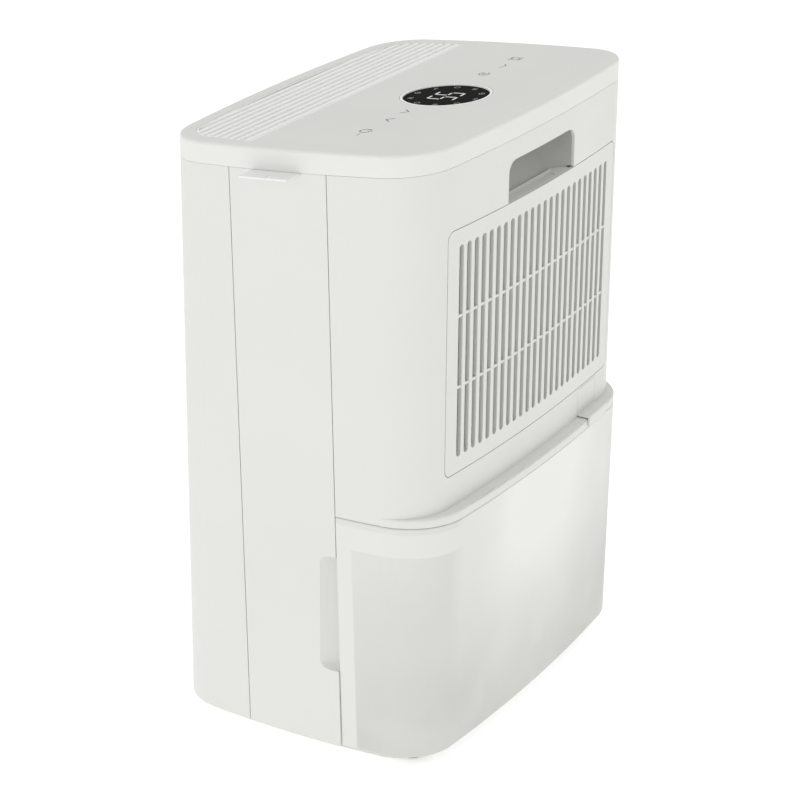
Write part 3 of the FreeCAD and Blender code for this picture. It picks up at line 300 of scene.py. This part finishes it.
def finishes():
    """One material for each of the record's slots."""
    return {
        "casing_plastic": plastic("casing_plastic", (0.755, 0.760, 0.725), 0.48),
        "top_plastic": plastic("top_plastic", (0.795, 0.800, 0.765), 0.46),
        # Painted shade: the casing's plastic made darker for the shade in the handle recess.
        "recess_plastic": plastic("recess_plastic", (0.50, 0.505, 0.48), 0.5),
        "grille_plastic": plastic(
            "grille_plastic",
            (0.93, 0.935, 0.91),
            0.5,
            edge=0.0016,
            # Painted light: a faint glow brightens the slats, though the grille is no lamp.
            Emission_Color=(1, 1, 0.97, 1),
            Emission_Strength=0.07,
        ),
        "tag_plastic": plastic("tag_plastic", (0.86, 0.865, 0.85), 0.3, grain=500.0),
        "dark_window": plastic(
            "dark_window",
            (0.025, 0.025, 0.023),
            0.3,
            grain=200.0,
            height=0.00001,
            Specular_IOR_Level=0.0,
        ),
        "circuit_board": plastic("circuit_board", (0.02, 0.13, 0.05), 0.35, 0.1),
        "contact_foam": plastic("contact_foam", (0.03, 0.03, 0.03), 0.8, 0.1),
        "frosted_tank": frosted_with_painted_glow("frosted_tank"),
        "lid_plastic": plastic("lid_plastic", (0.82, 0.825, 0.80), 0.5),
        "float_foam": plastic("float_foam", (0.70, 0.70, 0.68), 0.85, 0.04, 900.0, 0.0002),
        "filter_net": plastic("filter_net", (0.08, 0.08, 0.078), 0.7),
        "inner_plastic": plastic("inner_plastic", (0.32, 0.32, 0.315), 0.55, 0.03),
        "switch_plastic": plastic("switch_plastic", (0.03, 0.03, 0.03), 0.45, 0.05),
        "aluminium_fins": metal("aluminium_fins", (0.72, 0.73, 0.74), 0.35),
        "copper": metal("copper", (0.72, 0.36, 0.22), 0.3),
        "sheet_steel": metal("sheet_steel", (0.55, 0.56, 0.57), 0.38),
        "black_steel": plastic("black_steel", (0.012, 0.012, 0.012), 0.35, 0.05),
        "capacitor_can": metal("capacitor_can", (0.75, 0.76, 0.77), 0.3),
        "rubber": plastic("rubber", (0.025, 0.025, 0.025), 0.75, 0.08, 800.0, 0.0001),
    }


FINISH = finishes()


def dress_frame():
    """Gives every node of the frame its slot's finish."""
    for node, piece in frame["nodes"].items():
        piece.data.materials.clear()
        piece.data.materials.append(FINISH[NODE_SLOT[node]])


# --- fine pieces --------------------------------------------------------------------------------


def piece_from(name, mesh, body, slot, material=None):
    """A new piece of the object, riding on a body, with its slot's finish or one of its own."""
    piece = bpy.data.objects.new(name, mesh)
    bpy.context.scene.collection.objects.link(piece)
    mesh.materials.append(material or FINISH[slot])
    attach(piece, body)
    return piece


PRINT_THICKNESS = 0.00003
SHARPEST_MITRE = 0.4  # keeps a stroke from flaring at a sharp bend


class Ribbons:
    """Flat strokes drawn on a plane, then raised a little, as printed marks are."""

    def __init__(self):
        self.shape = bmesh.new()

    def stroke(self, points, width, closed=False):
        """A band of even width along a line of (u, v) points."""
        count = len(points)
        pairs = []
        for index, (u, v) in enumerate(points):
            before = points[index - 1] if closed or index else points[index]
            after = points[(index + 1) % count] if closed or index < count - 1 else points[index]
            arrive = Vector((u - before[0], v - before[1]))
            leave = Vector((after[0] - u, after[1] - v))
            arrive = arrive.normalized() if arrive.length else leave.normalized()
            leave = leave.normalized() if leave.length else arrive
            across = Vector((-(arrive.y + leave.y), arrive.x + leave.x)).normalized()
            lean = max(SHARPEST_MITRE, across.dot(Vector((-leave.y, leave.x))))
            reach = across * (width / 2 / lean)
            pairs.append(
                (
                    self.shape.verts.new((u + reach.x, v + reach.y, 0)),
                    self.shape.verts.new((u - reach.x, v - reach.y, 0)),
                )
            )
        for index in range(count if closed else count - 1):
            (a, b), (c, d) = pairs[index], pairs[(index + 1) % count]
            self.shape.faces.new((a, b, d, c))
        return self

    def ring(self, u, v, radius, width, start=0.0, end=360.0, steps=40):
        """A ring or a part of one, angles in degrees from the u axis."""
        whole = end - start >= 360.0
        count = steps if whole else steps + 1
        angles = [math.radians(start + (end - start) * step / steps) for step in range(count)]
        line = [(u + radius * math.cos(angle), v + radius * math.sin(angle)) for angle in angles]
        return self.stroke(line, width, closed=whole)

    def raised(self, name, place):
        """The strokes as a thin solid, each point carried to its place in the frame."""
        made = bmesh.ops.extrude_face_region(self.shape, geom=list(self.shape.faces))
        for item in made["geom"]:
            if isinstance(item, bmesh.types.BMVert):
                item.co.z = PRINT_THICKNESS
        bmesh.ops.recalc_face_normals(self.shape, faces=list(self.shape.faces))
        for vertex in self.shape.verts:
            vertex.co = place(vertex.co)
        mesh = bpy.data.meshes.new(name)
        self.shape.to_mesh(mesh)
        self.shape.free()
        return mesh


WINDOW_LOW, WINDOW_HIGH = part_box("display_window")
WINDOW_MIDDLE = (WINDOW_LOW + WINDOW_HIGH) / 2
COVER_LIFT = 0.001  # the cover's surface over the window's
PRINT_LIFT = 0.00002
COVER_PRINT_LIFT = COVER_LIFT + 0.00001


def on_rake(point, lift):
    """A point drawn on the raked panel, lifted off the display window's surface."""
    level = WINDOW_HIGH.z + (point.y - WINDOW_HIGH.y) * RAKE
    return Vector((point.x, point.y, level + lift + point.z))


def ink(name, tone, glow=0.0):
    """The paint of a printed or lit mark."""
    shader = Shader(name, 0.5)
    shader.mottle((tone, tone, tone * 0.98), 0.03, 60.0)
    if glow:
        shader.shader.inputs["Emission Color"].default_value = (1, 1, 1, 1)
        shader.shader.inputs["Emission Strength"].default_value = glow
    return shader.material


DIGIT_WIDTH = 0.0075
DIGIT_HEIGHT = 0.0220
DIGIT_PITCH = 0.0125
SEGMENT_WIDTH = 0.0015
SEGMENT_GAP = 0.0009
ICON_RING = 0.0272  # radius of the ring of symbols
ICON_COUNT = 10
ICON_START = 0.3  # the first symbol's place on the ring, in spaces between symbols
ICON_LINE = 0.0006
ICON_BARS_HALF = 0.0024
ICON_BARS_PITCH = 0.0014
ICON_RADIUS = 0.0021
ICON_WAVE_PITCH = 0.00062
ICON_WAVE_HEIGHT = 0.0010
ICON_WAVE_TURN = 1.3  # radians from one point of the wave to the next
ICON_WAVE_LINE = 0.0007
ICON_DOT_RADIUS = 0.0022  # the ring round the dot
ICON_DOT_HALF = 0.0008
ICON_DOT_LINE = 0.0009
SMALL_RING_STEPS = 20


def digit_five(strokes, u, v):
    """A seven-segment five about a middle, read from the front of the appliance."""
    half, tall, gap = DIGIT_WIDTH / 2, DIGIT_HEIGHT / 2, SEGMENT_GAP
    bars = (
        ((half, tall), (-half, tall)),
        ((-half, tall - gap), (-half, gap)),
        ((-half + gap, 0), (half - gap, 0)),
        ((half, -gap), (half, gap - tall)),
        ((half, -tall), (-half, -tall)),
    )
    for first, last in bars:
        strokes.stroke([(u + first[0], v + first[1]), (u + last[0], v + last[1])], SEGMENT_WIDTH)


def small_icon(strokes, u, v, kind):
    """One of the faint symbols round the number: bars, a ring, a wave or a dot in a ring."""
    if kind == 0:
        for row in (-1, 0, 1):
            level = v + row * ICON_BARS_PITCH
            strokes.stroke([(u - ICON_BARS_HALF, level), (u + ICON_BARS_HALF, level)], ICON_LINE)
    elif kind == 1:
        strokes.ring(u, v, ICON_RADIUS, ICON_LINE, steps=SMALL_RING_STEPS)
    elif kind == 2:
        wave = [
            (
                u + (step - 4) * ICON_WAVE_PITCH,
                v + ICON_WAVE_HEIGHT * math.sin(step * ICON_WAVE_TURN),
            )
            for step in range(9)
        ]
        strokes.stroke(wave, ICON_WAVE_LINE)
    else:
        strokes.ring(u, v, ICON_DOT_RADIUS, ICON_LINE, steps=SMALL_RING_STEPS)
        strokes.stroke([(u - ICON_DOT_HALF, v), (u + ICON_DOT_HALF, v)], ICON_DOT_LINE)


def display_marks():
    """The lit number in the dark window and the ring of faint symbols round it."""
    digits = Ribbons()
    middle_x, middle_y = WINDOW_MIDDLE.x, WINDOW_MIDDLE.y
    for side in (-1, 1):
        digit_five(digits, middle_x + side * DIGIT_PITCH / 2, middle_y)
    mesh = digits.raised("display_digits", lambda point: on_rake(point, PRINT_LIFT))
    piece_from("display_digits", mesh, "casing", "tag_plastic", ink("digit_light", 0.75, 0.15))
    icons = Ribbons()
    for index in range(ICON_COUNT):
        angle = math.tau * (index + ICON_START) / ICON_COUNT
        u = middle_x + ICON_RING * math.cos(angle)
        v = middle_y + ICON_RING * math.sin(angle)
        small_icon(icons, u, v, index % 4)
    mesh = icons.raised("display_icons", lambda point: on_rake(point, PRINT_LIFT))
    piece_from("display_icons", mesh, "casing", "tag_plastic", ink("icon_light", 0.36))


# The touch marks, in a row over the middle of the contact pads. Arcs are in degrees from the
# x axis.
MARK_ROW = 0.0310
MARK_WIDTH = 0.0009
POWER_X = 0.1130
POWER_RADIUS = 0.0044
POWER_ARC = (115.0, 425.0)
POWER_STEM = (0.0016, 0.0052)
DASH_X = (0.1215, 0.1262)
ARROWS = ((0.0795, -1), (0.0545, 1))  # x, and which way it points
ARROW_ARM = 0.0049
DIAL_X = -0.0680
DIAL_RADIUS = 0.0042
DIAL_ARC = (200.0, 520.0)
DIAL_HUB = 0.0015
WAVE_X = -0.0960
WAVE_RADIUS = 0.0056
WAVE_ARC = (25.0, 155.0)
WAVE_DROP = 0.0020  # how far the arc's middle lies below the row
DROP_X = -0.1210
DROP_RADIUS = 0.0034
DROP_BARS_X = (-0.1262, -0.1158)
DROP_BARS_RISE = 0.0042


def touch_marks():
    """The symbols of the touch panel, printed on the cover in one row."""
    y = MARK_ROW
    dark = Ribbons()
    dark.ring(POWER_X, y, POWER_RADIUS, MARK_WIDTH, *POWER_ARC)
    dark.stroke([(POWER_X, y + rise) for rise in POWER_STEM], MARK_WIDTH)
    for x, point in ARROWS:
        tip = y + point * ARROW_ARM / 2
        tail = y - point * ARROW_ARM / 2
        dark.stroke([(x - ARROW_ARM, tail), (x, tip), (x + ARROW_ARM, tail)], MARK_WIDTH)
    mesh = dark.raised("touch_marks", lambda point: on_rake(point, COVER_PRINT_LIFT))
    piece_from("touch_marks", mesh, "casing", "switch_plastic", ink("mark_grey", 0.05))
    faint = Ribbons()
    faint.stroke([(x, y) for x in DASH_X], MARK_WIDTH)
    faint.ring(DIAL_X, y, DIAL_RADIUS, MARK_WIDTH, *DIAL_ARC)
    faint.ring(DIAL_X, y, DIAL_HUB, MARK_WIDTH, steps=SMALL_RING_STEPS)
    faint.ring(WAVE_X, y - WAVE_DROP, WAVE_RADIUS, MARK_WIDTH, *WAVE_ARC)
    faint.ring(DROP_X, y, DROP_RADIUS, MARK_WIDTH)
    for row in (-1, 1):
        faint.stroke([(x, y + row * DROP_BARS_RISE) for x in DROP_BARS_X], MARK_WIDTH)
    mesh = faint.raised("touch_marks_faint", lambda point: on_rake(point, COVER_PRINT_LIFT))
    piece_from("touch_marks_faint", mesh, "casing", "switch_plastic", ink("mark_pale", 0.20))


NET_PITCH = 0.0012
NET_STRAND = 0.00045
NET_LAYER = 0.9 * NET_STRAND  # how far the level strands lie behind the upright ones
NET_MARGIN = 0.0035
NET_BENDS = 14  # straight runs that follow the curved back


def filter_net():
    """The woven net behind the filter's slots, two layers of strands bent to the curved back."""
    low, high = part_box("filter_mesh")
    middle = (low.x + high.x) / 2
    half = NET_STRAND / 2
    width = high.x - low.x - 2 * NET_MARGIN

    def depth(x, behind):
        bulge = BACK_RADIUS - math.sqrt(BACK_RADIUS**2 - (x - middle) ** 2)
        return high.y - behind - bulge

    def strand_corners(across, near):
        """A strand's four corners, as pairs of its place across the net and its depth."""
        far = near - NET_STRAND
        left, right = across - half, across + half
        return ((left, near), (right, near), (right, far), (left, far))

    net = bmesh.new()
    columns = int(width / NET_PITCH)
    for column in range(columns + 1):
        x = low.x + NET_MARGIN + column * NET_PITCH
        near = depth(x, 0.0)
        ends = []
        for z in (low.z + NET_MARGIN, high.z - NET_MARGIN):
            ends.append([net.verts.new((u, v, z)) for u, v in strand_corners(x, near)])
        for side in range(4):
            other = (side + 1) % 4
            net.faces.new((ends[0][side], ends[0][other], ends[1][other], ends[1][side]))
    rows = int((high.z - low.z - 2 * NET_MARGIN) / NET_PITCH)
    for row in range(rows + 1):
        z = low.z + NET_MARGIN + row * NET_PITCH
        before = None
        for bend in range(NET_BENDS + 1):
            x = low.x + NET_MARGIN + width * bend / NET_BENDS
            near = depth(x, NET_LAYER)
            here = [net.verts.new((x, v, w)) for w, v in strand_corners(z, near)]
            if before:
                for side in range(4):
                    other = (side + 1) % 4
                    net.faces.new((before[side], before[other], here[other], here[side]))
            before = here
    bmesh.ops.recalc_face_normals(net, faces=list(net.faces))
    mesh = bpy.data.meshes.new("filter_net")
    net.to_mesh(mesh)
    net.free()
    piece = piece_from("filter_net", mesh, "filter", "filter_net")
    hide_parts("filter_mesh")


# --- studio -------------------------------------------------------------------------------------

FLOOR_REACH = 30.0
FLOOR_GLOW = 0.42
SKY_LEVEL = 0.755
SKY_TOP = 0.82
SKY_FADE = (0.15, 0.9)  # heights on the unit sky between which the level changes to the top's
KEY_AZIMUTH = 84.0
KEY_ELEVATION = 22.0
KEY_POWER = 4.0
KEY_SIZE = (1.6, 1.2)
KEY_DISTANCE = 2.4


def make_floor():
    """A wide pale floor under the feet."""
    mesh = bpy.data.meshes.new("floor")
    signs = ((-1, -1), (1, -1), (1, 1), (-1, 1))
    corners = [(FLOOR_REACH * x, FLOOR_REACH * y, 0) for x, y in signs]
    mesh.from_pydata(corners, [], [(0, 1, 2, 3)])
    floor = bpy.data.objects.new("floor", mesh)
    bpy.context.scene.collection.objects.link(floor)
    shader = Shader("floor_paint", 0.9)
    shader.mottle((0.90, 0.90, 0.90), 0.004, 2.0)
    shader.shader.inputs["Emission Color"].default_value = (1, 1, 1, 1)
    shader.shader.inputs["Emission Strength"].default_value = FLOOR_GLOW
    floor.data.materials.append(shader.material)


def make_world():
    """White studio light from all round, a little stronger from overhead."""
    world = bpy.data.worlds.new("studio")
    world.use_nodes = True
    bpy.context.scene.world = world
    nodes, links = world.node_tree.nodes, world.node_tree.links
    direction = nodes.new("ShaderNodeTexCoord").outputs["Generated"]
    split = nodes.new("ShaderNodeSeparateXYZ")
    links.new(direction, split.inputs[0])
    fade = nodes.new("ShaderNodeMapRange")
    fade.inputs["From Min"].default_value, fade.inputs["From Max"].default_value = SKY_FADE
    fade.inputs["To Min"].default_value = SKY_LEVEL
    fade.inputs["To Max"].default_value = SKY_TOP
    links.new(split.outputs["Z"], fade.inputs["Value"])
    background = nodes["Background"]
    background.inputs["Color"].default_value = (1, 1, 1, 1)
    links.new(fade.outputs["Result"], background.inputs["Strength"])
    bpy.context.scene.view_settings.view_transform = "Standard"


def make_key():
    """One broad soft light, low on the side with the tab."""
    light = bpy.data.lights.new("key", "AREA")
    light.shape = "RECTANGLE"
    light.size, light.size_y = KEY_SIZE
    light.energy = KEY_POWER
    lamp = bpy.data.objects.new("key", light)
    back = direction_to(KEY_AZIMUTH, KEY_ELEVATION)
    lamp.location = CAMERA_TARGET + back * KEY_DISTANCE
    lamp.rotation_mode = "QUATERNION"
    lamp.rotation_quaternion = (-back).to_track_quat("-Z", "Y")
    bpy.context.scene.collection.objects.link(lamp)


make_camera()
make_world()
make_key()
make_floor()
dress_frame()
display_marks()
touch_marks()
filter_net()
